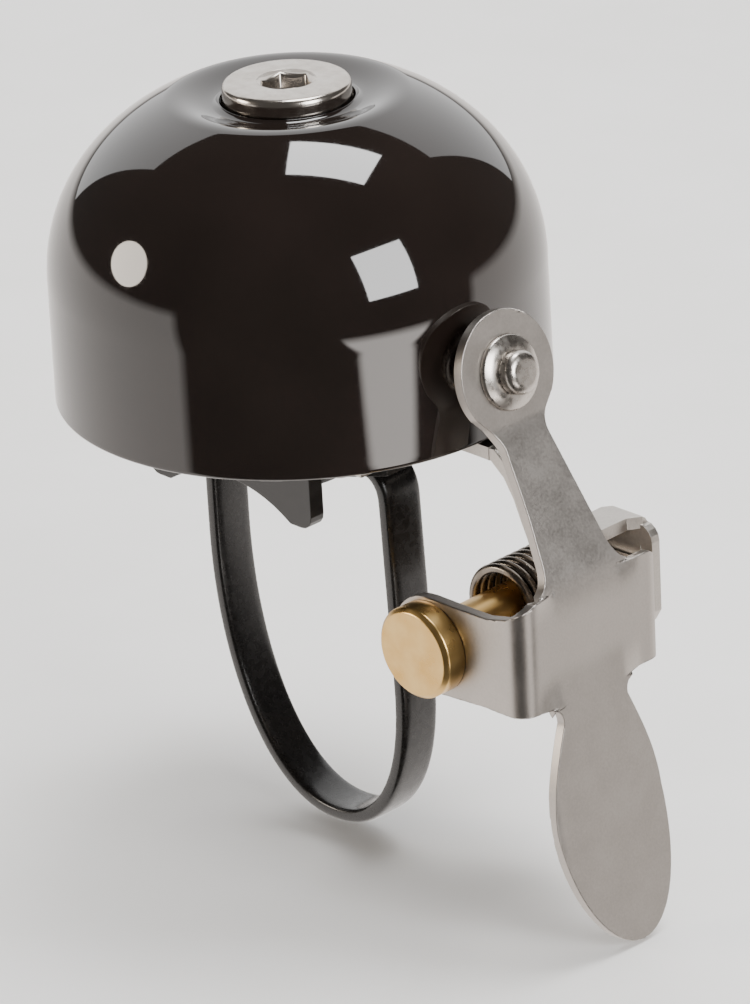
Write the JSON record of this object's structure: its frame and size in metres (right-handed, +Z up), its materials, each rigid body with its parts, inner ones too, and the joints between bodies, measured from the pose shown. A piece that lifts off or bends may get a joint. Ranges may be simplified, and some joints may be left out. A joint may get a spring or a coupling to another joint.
{
  "type": "bicycle bell",
  "caption": "Dome bell with a sprung striker lever and thumb tab, held on a handlebar by a strap drawn up by a central screw.",
  "frame": {"origin": "axis of the handlebar, under the centre of the dome", "axes": "+Z up the dome's axis, +Y along the handlebar away from the pivot pin's head, +X towards the striker lever"},
  "size_m": [0.0613, 0.045, 0.0729],
  "materials": {
    "gloss_black_lacquer": "deep gloss black lacquer",
    "nickel_plate": "polished nickel plate",
    "black_nylon": "moulded black nylon",
    "zinc_plate": "zinc plate",
    "stainless_sheet": "satin stainless sheet with bright edges",
    "gloss_black_plastic": "gloss black moulding",
    "coated_strip": "gloss black dip coat",
    "turned_steel": "turned steel",
    "turned_brass": "turned brass",
    "spring_steel": "dark drawn wire"
  },
  "bodies": {
    "base": {"bell_dome": "gloss_black_lacquer", "dimple_bush": "black_nylon", "under_dome_washer": "black_nylon", "centre_post": "zinc_plate", "support_bridge": "zinc_plate", "striker_bracket": "stainless_sheet", "saddle": "gloss_black_plastic", "pivot_pin": "turned_brass", "pivot_washer": "zinc_plate", "pivot_nut": "zinc_plate", "torsion_spring": "spring_steel"},
    "lever": {"striker_lever": "stainless_sheet", "striker_hammer": "turned_steel", "hammer_washer": "turned_steel"},
    "screw": {"top_screw": "nickel_plate"},
    "band": {"clamp_band": "coated_strip", "clamp_block": "zinc_plate", "band_rivet_left": "turned_steel", "band_rivet_right": "turned_steel"}
  },
  "joints": [
    {"name": "lever_pivot", "type": "hinge", "parent": "base", "child": "lever", "pos_m": [0.0234, 0, 0.001], "axis": [0, 1, 0], "range_deg": [-1.6, 24], "stiffness_Nm_per_rad": 0.1, "springref_deg": -0.72, "deforming": ["torsion_spring"]},
    {"name": "screw_turn", "type": "hinge", "parent": "base", "child": "screw", "pos_m": [0, 0, 0.0435], "axis": [0, 0, 1], "range_deg": [-5941, 0]},
    {"name": "band_draw", "type": "slide", "parent": "base", "child": "band", "axis": [0, 0, 1], "range_m": [0, 0.0132]}
  ],
  "couplings": [
    {"joint": "screw_turn", "follows": "band_draw", "rad_per_m": -7854}
  ]
}
